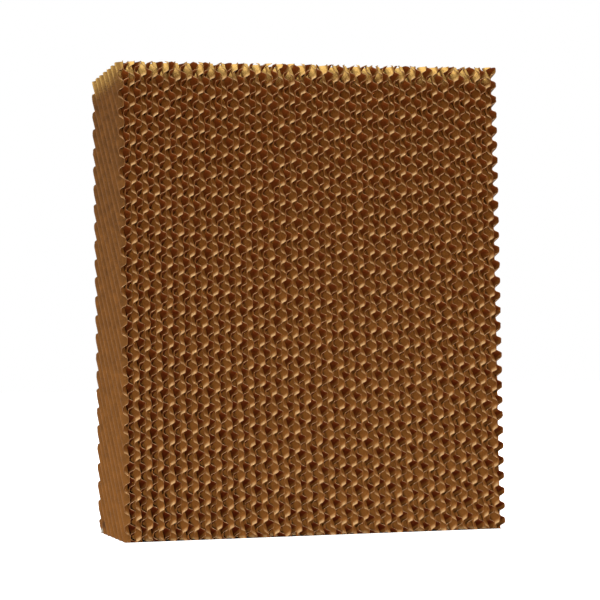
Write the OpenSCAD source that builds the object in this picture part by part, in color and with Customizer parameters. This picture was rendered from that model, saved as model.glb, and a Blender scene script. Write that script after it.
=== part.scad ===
// Evaporative cooling pad: a block of fluted, resin-stiffened kraft paper sheets.
// Every sheet stands in a plane across the width. Steep sheets, whose flutes fall towards
// the front, alternate with shallow sheets, whose flutes fall towards the back. Neighbours
// are glued where their crests cross, so air and water find a way through between them.
// The origin is at the bottom centre. The front face looks along -Y, and +Z is up.

/* [Pad] */
// Depth, the way the air goes
pad_d = 200; // [100:5:300]
// Height as it stands
pad_h = 600; // [200:10:1000]
// Number of sheet pairs, each a steep sheet and a shallow one
sheet_pairs = 34; // [4:2:50]

/* [Sheet] */
// Flute height, over the paper from crest to crest
flute_h = 7.25; // [5:0.05:10]
// Flute pitch, square to the flutes
flute_pitch = 18.85; // [14:0.05:30]
// Thickness of the stiffened paper
paper_t = 0.5; // [0.2:0.05:0.8]
// Glue line between the crests of neighbouring sheets
glue_line = 0.1; // [0.05:0.01:0.3]
// How sharp the crests are, from 0.5, a smooth wave, to 0.97, a zigzag
crest_sharpness = 0.93; // [0.5:0.01:0.97]

/* [Flute angles] */
// Slope of the steep flutes, which rise towards the back
steep_angle = 40; // [30:1:50]
// Slope of the shallow flutes, which rise towards the front
shallow_angle = 15; // [5:1:30]

/* [Hidden] */
// Angles along one wave where the paper turns. The two outer sheets show their broad sides,
// so three turns round each of their crests, and the sheets between them have one a crest.
OUTER_TURNS = [55, 90, 125, 235, 270, 305];
INNER_TURNS = [90, 270];
// Sheets of one kind that share a node
SHEETS_PER_NODE = 2;

sheet_pitch = flute_h + glue_line;
sheet_count = 2 * sheet_pairs;
pad_w = sheet_count * sheet_pitch - glue_line;
node_count = ceil(sheet_pairs / SHEETS_PER_NODE);

function two_digits(n) = str(n < 10 ? "0" : "", n);
function steep_name(k) = str("steep_sheets_", two_digits(k + 1));
function shallow_name(k) = str("shallow_sheets_", two_digits(k + 1));

// Where in its wave sheet i was cut, in degrees: it is scattered from sheet to sheet
function cut_phase(i) = (306 + 86 * i + 29 * i * i) % 360;

// Mid-line of the paper at an angle u along the wave, from -1 to 1
function wave(u) = asin(crest_sharpness * sin(u)) / asin(crest_sharpness);

// Slope of that mid-line, per degree
function wave_slope(u) =
    crest_sharpness * cos(u) / sqrt(1 - pow(crest_sharpness * sin(u), 2)) / asin(crest_sharpness);

// A point of the paper's surface at the angle u, for a sheet cut at phase: side is 1 or -1
function paper_point(u, phase, side) =
    let (
        reach = (flute_h - paper_t) / 2,
        tangent = [flute_pitch / 360, reach * wave_slope(u)],
        normal = [-tangent.y, tangent.x] / norm(tangent)
    )
    [flute_pitch * (u - phase) / 360, reach * wave(u)] + side * paper_t / 2 * normal;

// Cross-section of sheet i, at least span long
module fluted_section(i, span) {
    waves = ceil(span / flute_pitch / 2) + 1;
    outer = i == 0 || i == sheet_count - 1;
    turns = [for (n = [-waves : waves], turn = outer ? OUTER_TURNS : INNER_TURNS) 360 * n + turn];
    last = len(turns) - 1;
    polygon([
        for (u = turns) paper_point(u, cut_phase(i), 1),
        for (k = [last : -1 : 0]) paper_point(turns[k], cut_phase(i), -1),
    ]);
}

// One sheet in its place in the stack, with flutes that rise towards the back by angle
module fluted_sheet(i, angle) {
    across = pad_h * cos(angle) + pad_d * abs(sin(angle));
    along = pad_d * cos(angle) + pad_h * abs(sin(angle));
    translate([sheet_pitch * i + (flute_h - pad_w) / 2, 0, pad_h / 2])
        intersection() {
            rotate([angle - 90, 0, 0])
                rotate([0, 0, -90])
                    linear_extrude(height = along + flute_pitch, center = true)
                        fluted_section(i, across);
            cube([2 * flute_h, pad_d, pad_h], center = true);
        }
}

// The sheets of one kind in node k: first is 0 for the steep kind and 1 for the shallow kind
module sheet_group(k, first, angle) {
    last_pair = min(SHEETS_PER_NODE * (k + 1), sheet_pairs) - 1;
    for (pair = [SHEETS_PER_NODE * k : last_pair])
        fluted_sheet(2 * pair + first, angle);
}

module steep_sheets(k) {
    color("peru") sheet_group(k, 0, steep_angle);
}

module shallow_sheets(k) {
    color("burlywood") sheet_group(k, 1, -shallow_angle);
}

for (k = [0 : node_count - 1]) {
    steep_sheets(k);
    shallow_sheets(k);
}
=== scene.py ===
"""Looks of an evaporative cooling pad: glued, fluted kraft paper sheets, stiffened with resin.

Lengths are in metres. The pad stands on its cut edges, with its front face towards -Y.
"""
import math
from collections import namedtuple

import bpy
import numpy as np
from mathutils import Matrix, Vector


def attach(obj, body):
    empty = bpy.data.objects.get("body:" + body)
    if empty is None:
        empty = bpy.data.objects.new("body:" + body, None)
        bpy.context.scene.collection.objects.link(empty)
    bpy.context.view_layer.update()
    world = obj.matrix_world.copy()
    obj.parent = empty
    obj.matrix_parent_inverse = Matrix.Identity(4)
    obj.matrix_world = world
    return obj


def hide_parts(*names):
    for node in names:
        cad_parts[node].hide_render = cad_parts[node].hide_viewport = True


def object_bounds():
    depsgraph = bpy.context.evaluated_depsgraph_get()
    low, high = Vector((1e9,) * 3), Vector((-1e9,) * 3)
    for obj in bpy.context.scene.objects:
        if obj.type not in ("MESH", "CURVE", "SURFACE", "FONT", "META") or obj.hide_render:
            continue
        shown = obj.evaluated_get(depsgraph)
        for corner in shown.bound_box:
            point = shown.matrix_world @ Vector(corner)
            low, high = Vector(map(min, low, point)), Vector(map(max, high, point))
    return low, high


MM = 0.001
rng = np.random.default_rng(7)

# Sheets, as in the frame: steep and shallow ones alternate from left to right
SHEET_COUNT = 68
SHEETS_PER_NODE = 2
GLUE_LINE = 0.1 * MM
FLUTE_PITCH = 18.85 * MM
STEEP_ANGLE = math.radians(40)
SHALLOW_ANGLE = math.radians(-15)
KINDS = {"steep_sheets": STEEP_ANGLE, "shallow_sheets": SHALLOW_ANGLE}
PAPER_T = 0.35 * MM
# From 0, a plain wave, up: how broad its crests are
CREST_BREADTH = 2.8

# How finely a sheet is drawn: rows round each flute, and how near they come to the sheet's corners
STEPS_PER_FLUTE = 12
CORNER_GAP = 0.1 * MM
# Distances from both cut edges along a row, drawn together in short rows, and points between them
END_STEPS = (0.0, 0.4 * MM, 2.0 * MM, 6.0 * MM)
FULL_STEPS_RUN = 4 * END_STEPS[-1]
MIDDLE_STEPS = 1

# How frayed the paper is at those distances, how much painted light makes its lips pale there, and how far
# it is bent sideways
END_FRAY = (1.0, 0.0, 0.0, 0.0)
END_PAINTED_LIP_LIGHT = (1.0, 1.0, 0.7, 0.0)
END_BEND = (1.0, 0.9, 0.35, 0.0)
FRAY_SWELL = 0.25
LIP_BEND = 0.45 * MM
# How far cut edges are torn back, at the top and elsewhere, and the length of the rows torn in full
RAGGED_TOP = 2.6 * MM
RAGGED = 0.35 * MM
FULL_TEAR_RUN = 20 * RAGGED_TOP

# How far the paper has to face up for its lip to be pale with painted light, from not at all to fully
LEVEL_OF_PAINTED_LIP_LIGHT = (0.25, 0.6)
# The same for the painted light on the paper at the top, and facing down for the painted shade on undersides
LEVEL_OF_PAINTED_TOP_LIGHT = (-0.2, 0.4)
LEVEL_OF_PAINTED_SHADE = (-0.05, 0.4)
# The same, facing up or down, for cut edges that are pale, and not darker as at the crests
LEVEL_OF_FLANK = (0.15, 0.55)
# How pale the painted light makes the lips that face right, and left
PAINTED_LIP_LIGHT_SHARES = np.array([0.6, 1.0])[:, None, None]
# How much of the painted light at the top is left out in the grooves of the outer sides, which get painted
# shade
GROOVE_SHADE = 0.7

# How far the waves of the sheets drift along the height, in degrees, and the lengths that it goes by
PHASE_DRIFT = 8.0
DRIFT_SIZES = (70 * MM, 31 * MM, 11 * MM)
# How far the crests of neighbours press into each other where they are glued
CREST_GRIP = 0.02 * MM
# How far the two outer sheets are set in
OUTER_INSET = 0.12 * MM
# How far the block bows sideways, the sheets over which that fades at its sides, and its lengths
BLOCK_BOW = 0.5 * MM
BOW_FADE = 4
BOW_HEIGHT, BOW_DEPTH, BOW_WIDTHS = 0.11, 0.13, (0.09, 0.06)

# A crushed corner on the left side, at the back: its place along Y and Z, and how far it reaches
DENT_PLACE = np.array([90 * MM, 6 * MM])
DENT_REACH = 14 * MM
DENT_DEPTH = 2.2 * MM
# A dark patch by it and its pale, frayed fibres: places and reaches along Y and Z
DARK_PATCH_PLACE, DARK_PATCH_REACH = (62 * MM, 15 * MM), (12 * MM, 12 * MM)
FIBRE_PLACE, FIBRE_REACH = (82 * MM, 3 * MM), (15 * MM, 4.5 * MM)
# The share of such a spot's reach within which it is full
SPOT_CORE = 0.3

# Camera, fitted to the outline in the photograph
CAMERA_PLACE = Vector((-0.717, -2.758, 0.212))
CAMERA_AIM = Vector((0.0062, 0.0, 0.3021))
CAMERA_ROLL = math.radians(1.04)
CAMERA_LENS = 130.0

# Studio: a white floor, which the camera sees brighter than the pad does, and an even fill
FLOOR_REACH = 20.0
FLOOR_WHITE = (0.98, 0.98, 0.98, 1)
FLOOR_BOUNCE = (0.8, 0.8, 0.8, 1)
FLOOR_ROUGHNESS = 0.9
FLOOR_GLOW = 0.35
FLOOR_SEEN = 1.0
FILL = 0.3
# The floor below the pad, where no light gets to
FLOOR_SHADE = (0.04, 0.02, 0.01, 1)
FLOOR_SHADE_INSET = 1.5 * MM
# Key light, a soft sun on the upper left: angles from the front and above the floor, and its breadth
KEY_AZIMUTH, KEY_ELEVATION, KEY_SPREAD = map(math.radians, (-60, 55, 25))
KEY_STRENGTH = 0.52 * math.pi
# Round lamps in line with the camera, twice as far away, and behind on the right
FRONT_LAMP_PLACE = CAMERA_AIM + 2 * (CAMERA_PLACE - CAMERA_AIM)
FRONT_LAMP_SIZE, FRONT_LAMP_POWER = 0.24, 192
REAR_LAMP_PLACE = Vector((1.5, 2.6, 1.2))
REAR_LAMP_SIZE, REAR_LAMP_POWER = 0.6, 50


def cut_phase(i):
    """Where in its wave sheet i was cut, in degrees, as in the frame."""
    return (306 + 86 * i + 29 * i * i) % 360


def flute_wave(u, rise):
    """Mid-line of the paper, and its slope, at the angle u in degrees along a wave of that rise."""
    turn = np.radians(u)
    bend = np.tanh(CREST_BREADTH * np.sin(turn))
    scale = rise / math.tanh(CREST_BREADTH)
    slope = scale * (1 - bend ** 2) * CREST_BREADTH * np.cos(turn) * 2 * math.pi / FLUTE_PITCH
    return scale * bend, slope


def smoothed(values):
    """Every value averaged with its two neighbours, which leaves out the first and last ones."""
    return (values[:, :-2] + 2 * values[:, 1:-1] + values[:, 2:]) / 4


def along_row(shares):
    """Shares near a cut edge, set out along a whole row from one cut edge to the other."""
    return np.array(shares + (0.0,) * MIDDLE_STEPS + shares[::-1])


def graded(facing, level):
    """From 0 to 1, as the facing goes from the level's first value to its second."""
    least, most = level
    return np.clip((facing - least) / (most - least), 0, 1)


def drift(height):
    """How far a wave strays at each height, in degrees: every sheet does it in its own way."""
    offsets = rng.random(len(DRIFT_SIZES)) * 2 * math.pi
    return PHASE_DRIFT * sum(np.sin(height / size + offset) for size, offset in zip(DRIFT_SIZES, offsets))


# Places of a piece's materials
INSIDE, OUTSIDE, CUT = range(3)


class Sheet:
    """One fluted sheet as a closed grid: rows run along the flutes, from cut edge to cut edge."""

    def __init__(self, i, low, high):
        size = high - low
        self.index = i
        self.pitch = (size.x + GLUE_LINE) / SHEET_COUNT
        flute_h = self.pitch - GLUE_LINE
        inset = OUTER_INSET * ((i == 0) - (i == SHEET_COUNT - 1))
        x = low.x + flute_h / 2 + i * self.pitch + inset
        self.centre = Vector((x, 0, (low.z + high.z) / 2))
        self.half = np.array([size.y / 2, size.z / 2])
        angle = SHALLOW_ANGLE if i % 2 else STEEP_ANGLE
        self.across = np.array([-math.sin(angle), math.cos(angle)])
        self.along = np.array([math.cos(angle), math.sin(angle)])
        self.build()

    def build(self):
        """Works out the points on the right and left sides of the paper, and their marks."""
        rows = self.rows()
        yz = rows[:, None, None] * self.across + self.stations(rows)[:, :, None] * self.along
        u = (rows / FLUTE_PITCH * 360 + cut_phase(self.index))[:, None] + drift(yz[:, :, 1])
        middle, slope = flute_wave(u, (self.pitch + CREST_GRIP - PAPER_T) / 2)
        middle = self.centre.x + middle + self.bow(yz) + self.lip_bend(len(rows)) + self.dent(yz)
        stretch = np.sqrt(1 + slope ** 2)
        thick = PAPER_T / 2 * stretch * (1 + FRAY_SWELL * along_row(END_FRAY))
        self.shape = middle.shape
        self.points = np.stack([
            np.stack([middle + side * thick, yz[:, :, 0], yz[:, :, 1] + self.centre.z], 2)
            for side in (1, -1)]).reshape(-1, 3)
        self.mark(np.stack([-slope, slope]) * self.across[1] / stretch)

    def rows(self):
        """Distances of the rows from the middle, square to the flutes, with one at each corner."""
        corners = np.array([self.across @ (self.half * (sy, sz)) for sy in (-1, 1) for sz in (-1, 1)])
        corners.sort()
        step = 360 / STEPS_PER_FLUTE
        phase = cut_phase(self.index)
        first, last = corners[[0, -1]] / FLUTE_PITCH * 360 + phase
        turns = np.arange(math.ceil(first / step), math.floor(last / step) + 1) * step
        rows = FLUTE_PITCH * (turns - phase) / 360
        near = np.abs(rows[:, None] - corners[None]).min(1) < CORNER_GAP
        corners[0] += CORNER_GAP
        corners[-1] -= CORNER_GAP
        return np.sort(np.concatenate([rows[~near], corners]))

    def stations(self, rows):
        """Distances along each row at which its points lie, most of them near the cut edges."""
        start, end = self.ends(rows)
        length = end - start
        near = np.array(END_STEPS)[None] * np.minimum(1, length / FULL_STEPS_RUN)[:, None]
        share = np.linspace(0, 1, MIDDLE_STEPS + 2)[None, 1:-1]
        inner = near[:, -1:] + share * (length[:, None] - 2 * near[:, -1:])
        return start[:, None] + np.concatenate([near, inner, length[:, None] - near[:, ::-1]], 1)

    def ends(self, rows):
        """Where each row meets the torn cut edges, as distances along its flute."""
        sides = [np.sort((np.array([[-1], [1]]) * half - rows * a) / b, 0)
                 for half, a, b in zip(self.half, self.across, self.along)]
        start = np.maximum(sides[0][0], sides[1][0])
        end = np.minimum(sides[0][1], sides[1][1])
        run = np.stack([start, end])
        top = rows * self.across[1] + run * self.along[1] > self.half[1] - MM
        tear = smoothed(rng.random((2, len(rows) + 2)) ** 2)
        ragged = np.where(top, RAGGED_TOP, RAGGED) * tear
        ragged *= np.minimum(1, (end - start) / FULL_TEAR_RUN)
        return start + ragged[0], end - ragged[1]

    def bow(self, yz):
        """How far the whole block bows sideways here, which neighbours share. Its two sides stay true."""
        x, y, z = self.centre.x, yz[:, :, 0], yz[:, :, 1]
        inward = min(self.index, SHEET_COUNT - 1 - self.index)
        sway = BLOCK_BOW * min(1, inward / BOW_FADE)
        return sway * np.sin(z / BOW_HEIGHT + x / BOW_WIDTHS[0]) * np.cos(y / BOW_DEPTH - x / BOW_WIDTHS[1])

    def lip_bend(self, count):
        """How far the paper is bent sideways at its cut edges. The outer sheets only bend inwards."""
        loose = LIP_BEND * smoothed(rng.normal(size=(2, count + 2)))
        if self.index in (0, SHEET_COUNT - 1):
            loose = np.abs(loose) * (1 if self.index == 0 else -1)
        fade = np.array(END_BEND)
        still = np.zeros((count, MIDDLE_STEPS))
        return np.concatenate([loose[0][:, None] * fade, still, loose[1][:, None] * fade[::-1]], 1)

    def dent(self, yz):
        """How far the paper is pushed in here: only the left outer sheet has a crushed corner."""
        away = np.linalg.norm(yz + (0, self.half[1]) - DENT_PLACE, axis=2) / DENT_REACH
        return DENT_DEPTH * np.exp(-away ** 2) * (self.index == 0)

    def mark(self, upward):
        """Notes for the materials how frayed the paper is and where light and shade are painted on it, by
        how far its right and left sides face up.
        """
        # Painted light on lips and at the top where the paper faces up, and painted shade where it faces
        # down
        settled = graded(upward, LEVEL_OF_PAINTED_LIP_LIGHT)
        painted_lip_lights = settled * along_row(END_PAINTED_LIP_LIGHT) * PAINTED_LIP_LIGHT_SHARES
        painted_top_light = graded(upward, LEVEL_OF_PAINTED_TOP_LIGHT)
        painted_shade_share = graded(-upward, LEVEL_OF_PAINTED_SHADE)
        # The outer sides get painted shade in their grooves, less painted light at the top there, and no
        # painted lips
        for side, outermost in enumerate((SHEET_COUNT - 1, 0)):
            if self.index == outermost:
                painted_shade_share[side] = settled.max(0)
                painted_top_light[side] = 1 - GROOVE_SHADE * painted_shade_share[side]
                painted_lip_lights[side] = 0
        self.marks = {
            "fray": np.tile(along_row(END_FRAY), 2 * self.shape[0]),
            "painted_lip_light": painted_lip_lights.ravel(),
            "painted_top_light": painted_top_light.ravel(),
            "painted_shade": painted_shade_share.ravel(),
            "flank": graded(np.abs(upward), LEVEL_OF_FLANK).ravel(),
        }

    def faces(self):
        """Quads of the right and left sides, and of the cut edges all round."""
        rows, cols = self.shape
        right, left = np.arange(2 * rows * cols).reshape(2, rows, cols)

        def quads(a, b, c, d):
            return np.stack([a, b, c, d], -1).reshape(-1, 4)

        cut = [
            quads(right[:-1, 0], right[1:, 0], left[1:, 0], left[:-1, 0]),
            quads(right[1:, -1], right[:-1, -1], left[:-1, -1], left[1:, -1]),
            quads(right[0, 1:], right[0, :-1], left[0, :-1], left[0, 1:]),
            quads(right[-1, :-1], right[-1, 1:], left[-1, 1:], left[-1, :-1]),
        ]
        return (
            quads(right[:-1, :-1], right[:-1, 1:], right[1:, 1:], right[1:, :-1]),
            quads(left[:-1, :-1], left[1:, :-1], left[1:, 1:], left[:-1, 1:]),
            np.concatenate(cut),
        )

    def finishes(self):
        """Which of its piece's materials the right side, the left side and the cut edges have."""
        right = OUTSIDE if self.index == SHEET_COUNT - 1 else INSIDE
        left = OUTSIDE if self.index == 0 else INSIDE
        return right, left, CUT


def put_in_scene(name, data):
    """A new object of that name, which shows the data."""
    thing = bpy.data.objects.new(name, data)
    bpy.context.collection.objects.link(thing)
    return thing


def sheet_piece(name, sheets, materials):
    """Joins sheets into one object, whose materials come in the order INSIDE, OUTSIDE, CUT."""
    points, quads, kinds = [], [], []
    count = 0
    for sheet in sheets:
        points.append(sheet.points)
        for faces, kind in zip(sheet.faces(), sheet.finishes()):
            quads.append(faces + count)
            kinds.append(np.full(len(faces), kind))
        count += len(sheet.points)
    points, quads, kinds = (np.concatenate(arrays) for arrays in (points, quads, kinds))
    mesh = bpy.data.meshes.new(name)
    mesh.vertices.add(len(points))
    mesh.vertices.foreach_set("co", points.ravel())
    mesh.loops.add(quads.size)
    mesh.loops.foreach_set("vertex_index", quads.ravel())
    mesh.polygons.add(len(quads))
    mesh.polygons.foreach_set("loop_start", np.arange(0, quads.size, 4))
    mesh.polygons.foreach_set("material_index", kinds)
    mesh.polygons.foreach_set("use_smooth", np.ones(len(quads), bool))
    mesh.update(calc_edges=True)
    for mark in sheets[0].marks:
        values = np.concatenate([sheet.marks[mark] for sheet in sheets])
        mesh.attributes.new(mark, "FLOAT", "POINT").data.foreach_set("value", values)
    for material in materials:
        mesh.materials.append(material)
    return put_in_scene(name, mesh)


def colour(r, g, b):
    """A colour given in display values from 0 to 255, as the shader wants it, by the sRGB curve."""
    shown = [c / 255 for c in (r, g, b)]
    linear = [((c + 0.055) / 1.055) ** 2.4 if c > 0.04045 else c / 12.92 for c in shown]
    return (*linear, 1.0)


# Dark and light tints of the paper, and the values of its uneven tone between which they change
TONES = 0.25, 0.75
INSIDE_TINTS = colour(111, 60, 14), colour(157, 99, 43)
# Painted shade: darker tints for undersides, which face down
PAINTED_UNDERSIDE_SHADE_TINTS = colour(87, 27, 0), colour(123, 60, 17)
OUTSIDE_TINTS = colour(72, 41, 9), colour(139, 88, 35)
# Painted shade: darker tints for the grooves of the outer sides
PAINTED_GROOVE_SHADE_TINTS = colour(62, 36, 7), colour(122, 76, 28)
# Painted light: pale tints of lips near the cut edges that face up
PAINTED_LIP_LIGHT_TINTS = colour(194, 151, 95), colour(220, 185, 134)
# Painted light: pale tints near the top, inside and on the outer sides
PAINTED_TOP_LIGHT_TINTS = colour(220, 174, 90), colour(244, 204, 120)
PAINTED_SIDE_TOP_LIGHT_TINTS = colour(170, 130, 62), colour(198, 157, 84)
CUT_TINTS = colour(127, 83, 44), colour(213, 166, 120)
# A darker tint of cut edges at the crests and of the rims of the sides, and tints of the crushed corner's
# dark patch and fibres
DARK_EDGE_TINT = colour(120, 76, 40)
DARK_PATCH_TINT = colour(82, 50, 20)
FIBRE_TINT = colour(156, 148, 132)

# A look of the paper with its painted light and shade: tints of its open sides and of its undersides or
# grooves, the latter painted shade; how much lighter they are at the bottom and at the top, painted light
# and shade too;
# its tints of painted light at the top, and how far down from the top these reach
PaperTintsAndPaintedLight = namedtuple("PaperTintsAndPaintedLight", "tints fades top_tints top_reach")
# Painted light and shade by height, as tone added at the bottom and at the top: of the open sides, then of
# undersides or grooves
INSIDE_PAINTED_HEIGHT_LIGHT = (0.19, -0.2), (-0.22, 0.18)
OUTSIDE_PAINTED_HEIGHT_LIGHT = (0.13, -0.06), (0.24, -0.06)
INSIDE_TINTS_AND_PAINTED_LIGHT = PaperTintsAndPaintedLight((INSIDE_TINTS, PAINTED_UNDERSIDE_SHADE_TINTS), INSIDE_PAINTED_HEIGHT_LIGHT, PAINTED_TOP_LIGHT_TINTS, 26 * MM)
OUTSIDE_TINTS_AND_PAINTED_LIGHT = PaperTintsAndPaintedLight((OUTSIDE_TINTS, PAINTED_GROOVE_SHADE_TINTS), OUTSIDE_PAINTED_HEIGHT_LIGHT, PAINTED_SIDE_TOP_LIGHT_TINTS, 32 * MM)

# How fine the marks on the paper are, how far streaks are drawn out, and the mottle's share in its tone
NOISE_DETAIL = 3.0
STREAK_SCALE, STREAK_SQUEEZE = 900.0, 0.04
MOTTLE_SCALE, MOTTLE_SHARE = 60.0, 0.5
FIBRE_SCALE, FIBRE_RELIEF, FIBRE_HEIGHT = 700.0, 0.25, 0.2 * MM
CUT_SCALE = 160.0
# How dull the paper and its cut edges are
PAPER_SURFACE = {"Roughness": 0.75, "Diffuse_Roughness": 0.4, "Specular_IOR_Level": 0.15}
CUT_SURFACE = {"Roughness": 0.9, "Specular_IOR_Level": 0.1}


class Nodes:
    """A material's node tree, with short ways to add and join nodes."""

    def __init__(self, name):
        self.material = bpy.data.materials.new(name)
        self.material.use_nodes = True
        self.tree = self.material.node_tree

    def put(self, value, socket):
        if isinstance(value, bpy.types.NodeSocket):
            self.tree.links.new(value, socket)
        else:
            socket.default_value = value

    def fill(self, node, inputs):
        """Fills inputs by name, with _ for a space. What comes from a node is joined to its input."""
        for key, value in inputs.items():
            self.put(value, node.inputs[key.replace("_", " ")])

    def surface(self, **inputs):
        """Fills inputs of the material's shader."""
        self.fill(self.tree.nodes["Principled BSDF"], inputs)

    def add(self, kind, settings=None, **inputs):
        node = self.tree.nodes.new(kind)
        for key, value in (settings or {}).items():
            setattr(node, key, value)
        self.fill(node, inputs)
        return node

    def place(self):
        return self.add("ShaderNodeTexCoord").outputs["Object"]

    def mark(self, name):
        return self.add("ShaderNodeAttribute", {"attribute_name": name}).outputs["Fac"]

    def noise(self, vector, scale):
        return self.add("ShaderNodeTexNoise", Vector=vector, Scale=scale, Detail=NOISE_DETAIL).outputs["Fac"]

    def calculate(self, operation, *values):
        node = self.add("ShaderNodeMath", {"operation": operation})
        for value, socket in zip(values, node.inputs):
            self.put(value, socket)
        return node.outputs[0]

    def soft_step(self, value, start, end):
        return self.add("ShaderNodeMapRange", {"interpolation_type": "SMOOTHSTEP"}, Value=value,
                        From_Min=start, From_Max=end).outputs[0]

    def tinted(self, tone, tints):
        node = self.add("ShaderNodeValToRGB", Fac=tone)
        for stop, place, tint in zip(node.color_ramp.elements, TONES, tints):
            stop.position = place
            stop.color = tint
        return node.outputs["Color"]

    def mix(self, share, a, b):
        """Two colours, mixed. A mix node has its colours at the inputs 6 and 7 and the output 2."""
        node = self.add("ShaderNodeMix", {"data_type": "RGBA"})
        self.put(share, node.inputs[0])
        self.put(a, node.inputs[6])
        self.put(b, node.inputs[7])
        return node.outputs[2]


def spot(nodes, place, centre, reach):
    """A soft spot on the sides of the pad, from 0 to 1. Centre and reach are along Y and Z."""
    scale = [1 / r for r in reach]
    shift = [-c * s for c, s in zip(centre, scale)]
    about = nodes.add("ShaderNodeMapping", Vector=place, Location=(0, *shift), Scale=(0, *scale))
    away = nodes.add("ShaderNodeVectorMath", {"operation": "LENGTH"}, Vector=about.outputs["Vector"])
    return nodes.soft_step(away.outputs["Value"], 1.0, SPOT_CORE)


def crushed(nodes, place, paper):
    """The paper with a dark patch and the pale fibres of the crushed corner on it."""
    # A darker patch next to the dent, then the pale fibres
    patched = nodes.mix(spot(nodes, place, DARK_PATCH_PLACE, DARK_PATCH_REACH), paper, DARK_PATCH_TINT)
    return nodes.mix(spot(nodes, place, FIBRE_PLACE, FIBRE_REACH), patched, FIBRE_TINT)


def paper_material(name, angle, tints_and_light, top, is_crushed=False):
    """Stiff kraft paper with streaks along flutes at the angle, with painted light near the top and on lips,
    painted shade below.
    """
    nodes = Nodes(name)
    place = nodes.place()
    height = nodes.add("ShaderNodeSeparateXYZ", Vector=place).outputs["Z"]
    turned = nodes.add("ShaderNodeMapping", Vector=place, Rotation=(-angle, 0, 0),
                       Scale=(1, STREAK_SQUEEZE, 1))
    streaks = nodes.noise(turned.outputs["Vector"], STREAK_SCALE)
    mottle = nodes.noise(place, MOTTLE_SCALE)
    tone = nodes.add("ShaderNodeMix", A=streaks, B=mottle, Factor=MOTTLE_SHARE).outputs[0]
    sides = []
    # Painted light and shade by height: the tone shifts from the bottom to the top
    for tints, (painted_light_at_bottom, painted_light_at_top) in zip(tints_and_light.tints, tints_and_light.fades):
        fade = nodes.add("ShaderNodeMapRange", Value=height, From_Max=top,
                         To_Min=painted_light_at_bottom, To_Max=painted_light_at_top)
        sides.append(nodes.tinted(nodes.calculate("ADD", tone, fade.outputs[0]), tints))
    # Painted shade on undersides and in the grooves of the outer sides
    paper = nodes.mix(nodes.mark("painted_shade"), *sides)
    # Painted light: pale lips near the cut edges where the paper faces up
    paper = nodes.mix(nodes.mark("painted_lip_light"), paper, nodes.tinted(tone, PAINTED_LIP_LIGHT_TINTS))
    # Painted light near the top where the paper faces up, reaching down unevenly from streak to streak
    uneven = nodes.calculate("MULTIPLY_ADD", streaks, tints_and_light.top_reach, height)
    top_light_by_height = nodes.soft_step(uneven, top - tints_and_light.top_reach / 2, top + tints_and_light.top_reach / 2)
    painted_top_light_share = nodes.calculate("MULTIPLY", top_light_by_height, nodes.mark("painted_top_light"))
    paper = nodes.mix(painted_top_light_share, paper, nodes.tinted(tone, tints_and_light.top_tints))
    if is_crushed:
        paper = crushed(nodes, place, paper)
    fibres = nodes.noise(place, FIBRE_SCALE)
    relief = nodes.add("ShaderNodeBump", Strength=FIBRE_RELIEF, Distance=FIBRE_HEIGHT, Height=fibres)
    # The rims of the sides at the cut edges take the darker edge tint
    nodes.surface(Base_Color=nodes.mix(nodes.mark("fray"), paper, DARK_EDGE_TINT),
                  Normal=relief.outputs["Normal"], **PAPER_SURFACE)
    return nodes.material


def cut_material():
    """The sawn edges of the sheets: pale, fuzzy paper, which is darker at the crests."""
    nodes = Nodes("cut_edge")
    pale = nodes.tinted(nodes.noise(nodes.place(), CUT_SCALE), CUT_TINTS)
    # Darker at the crests, where the cut edge runs up and down, and pale on the flanks
    nodes.surface(Base_Color=nodes.mix(nodes.mark("flank"), DARK_EDGE_TINT, pale), **CUT_SURFACE)
    return nodes.material


def make_pad(low, high):
    """Every node of the frame gets a piece with the same sheets, drawn with rounded flutes."""
    cut = cut_material()
    for first, (kind, angle) in enumerate(KINDS.items()):
        inside = paper_material(f"{kind}_inside", angle, INSIDE_TINTS_AND_PAINTED_LIGHT, high.z)
        outside = paper_material(f"{kind}_outside", angle, OUTSIDE_TINTS_AND_PAINTED_LIGHT, high.z, kind == "steep_sheets")
        for k in range(SHEET_COUNT // 2 // SHEETS_PER_NODE):
            numbers = [2 * (SHEETS_PER_NODE * k + j) + first for j in range(SHEETS_PER_NODE)]
            node = f"{kind}_{k + 1:02d}"
            sheets = [Sheet(i, low, high) for i in numbers]
            piece = sheet_piece(f"paper_{node}", sheets, (inside, outside, cut))
            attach(piece, "root")
            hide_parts(node)


def floor_material():
    """White, which throws only a little light back on the pad."""
    nodes = Nodes("studio_white")
    seen = nodes.add("ShaderNodeLightPath").outputs["Is Camera Ray"]
    glow = nodes.add("ShaderNodeMapRange", Value=seen, To_Min=FLOOR_GLOW, To_Max=FLOOR_SEEN)
    nodes.surface(Base_Color=nodes.mix(seen, FLOOR_BOUNCE, FLOOR_WHITE), Roughness=FLOOR_ROUGHNESS,
                  Emission_Color=FLOOR_WHITE, Emission_Strength=glow.outputs[0])
    return nodes.material


def shade_material():
    """The dark floor below the pad."""
    nodes = Nodes("studio_shade")
    nodes.surface(Base_Color=FLOOR_SHADE, Roughness=FLOOR_ROUGHNESS)
    return nodes.material


def make_stage(high):
    """A floor as far as the eye sees, with a shaded rectangle below the pad."""
    square = ((-1, -1), (1, -1), (1, 1), (-1, 1))
    corners = [(x * FLOOR_REACH, y * FLOOR_REACH, 0) for x, y in square]
    corners += [(x * (high.x - FLOOR_SHADE_INSET), y * (high.y - FLOOR_SHADE_INSET), 0) for x, y in square]
    around = [(k, (k + 1) % 4, (k + 1) % 4 + 4, k + 4) for k in range(4)]
    mesh = bpy.data.meshes.new("studio_floor")
    mesh.from_pydata(corners, [], around + [(4, 5, 6, 7)])
    mesh.polygons[4].material_index = 1
    mesh.materials.append(floor_material())
    mesh.materials.append(shade_material())
    put_in_scene("studio_floor", mesh)


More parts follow.
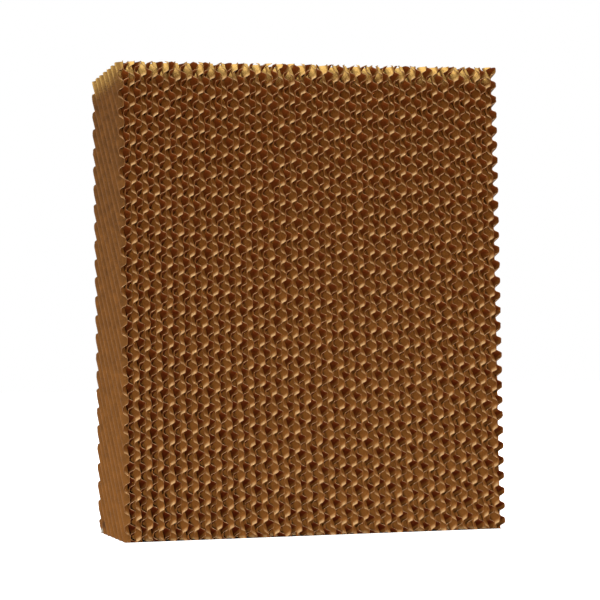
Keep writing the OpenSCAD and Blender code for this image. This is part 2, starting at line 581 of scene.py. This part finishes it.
def make_world():
    """White for the camera, and a part as bright for the pad, as an even fill."""
    world = bpy.data.worlds.new("studio")
    world.use_nodes = True
    tree = world.node_tree
    background = tree.nodes["Background"]
    background.inputs["Color"].default_value = (1, 1, 1, 1)
    path = tree.nodes.new("ShaderNodeLightPath")
    strength = tree.nodes.new("ShaderNodeMapRange")
    strength.inputs["To Min"].default_value = FILL
    strength.inputs["To Max"].default_value = 1.0
    tree.links.new(path.outputs["Is Camera Ray"], strength.inputs["Value"])
    tree.links.new(strength.outputs[0], background.inputs["Strength"])
    bpy.context.scene.world = world


def key_light():
    """A broad, even light from far off."""
    data = bpy.data.lights.new("key", "SUN")
    data.angle = KEY_SPREAD
    data.energy = KEY_STRENGTH
    level = math.cos(KEY_ELEVATION)
    x, y = math.sin(KEY_AZIMUTH) * level, -math.cos(KEY_AZIMUTH) * level
    towards = Vector((x, y, math.sin(KEY_ELEVATION)))
    put_in_scene("key", data).rotation_euler = towards.to_track_quat("Z", "Y").to_euler()


def softbox(name, place, size, power):
    """A round, diffuse lamp that looks from its place at the pad."""
    data = bpy.data.lights.new(name, "AREA")
    data.shape = "DISK"
    data.size = size
    data.energy = power
    lamp = put_in_scene(name, data)
    lamp.location = place
    lamp.rotation_euler = (CAMERA_AIM - place).to_track_quat("-Z", "Y").to_euler()
    lamp.visible_camera = False


def make_camera():
    """The camera, which shows colours as they are."""
    data = bpy.data.cameras.new("camera")
    data.lens = CAMERA_LENS
    camera = put_in_scene("camera", data)
    turn = (CAMERA_AIM - CAMERA_PLACE).to_track_quat("-Z", "Y").to_matrix().to_4x4()
    camera.matrix_world = Matrix.Translation(CAMERA_PLACE) @ turn @ Matrix.Rotation(-CAMERA_ROLL, 4, "Z")
    bpy.context.scene.camera = camera
    bpy.context.scene.view_settings.view_transform = "Standard"


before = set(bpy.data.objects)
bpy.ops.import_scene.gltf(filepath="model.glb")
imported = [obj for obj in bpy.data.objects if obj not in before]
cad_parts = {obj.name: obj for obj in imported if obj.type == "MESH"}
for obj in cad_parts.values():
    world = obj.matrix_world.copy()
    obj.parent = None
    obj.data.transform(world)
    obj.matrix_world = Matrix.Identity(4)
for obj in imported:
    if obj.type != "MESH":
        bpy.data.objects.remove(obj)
cad_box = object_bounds()
make_pad(Vector(cad_box[0]), Vector(cad_box[1]))
make_stage(Vector(cad_box[1]))
make_world()
key_light()
softbox("front", FRONT_LAMP_PLACE, FRONT_LAMP_SIZE, FRONT_LAMP_POWER)
softbox("rear", REAR_LAMP_PLACE, REAR_LAMP_SIZE, REAR_LAMP_POWER)
make_camera()
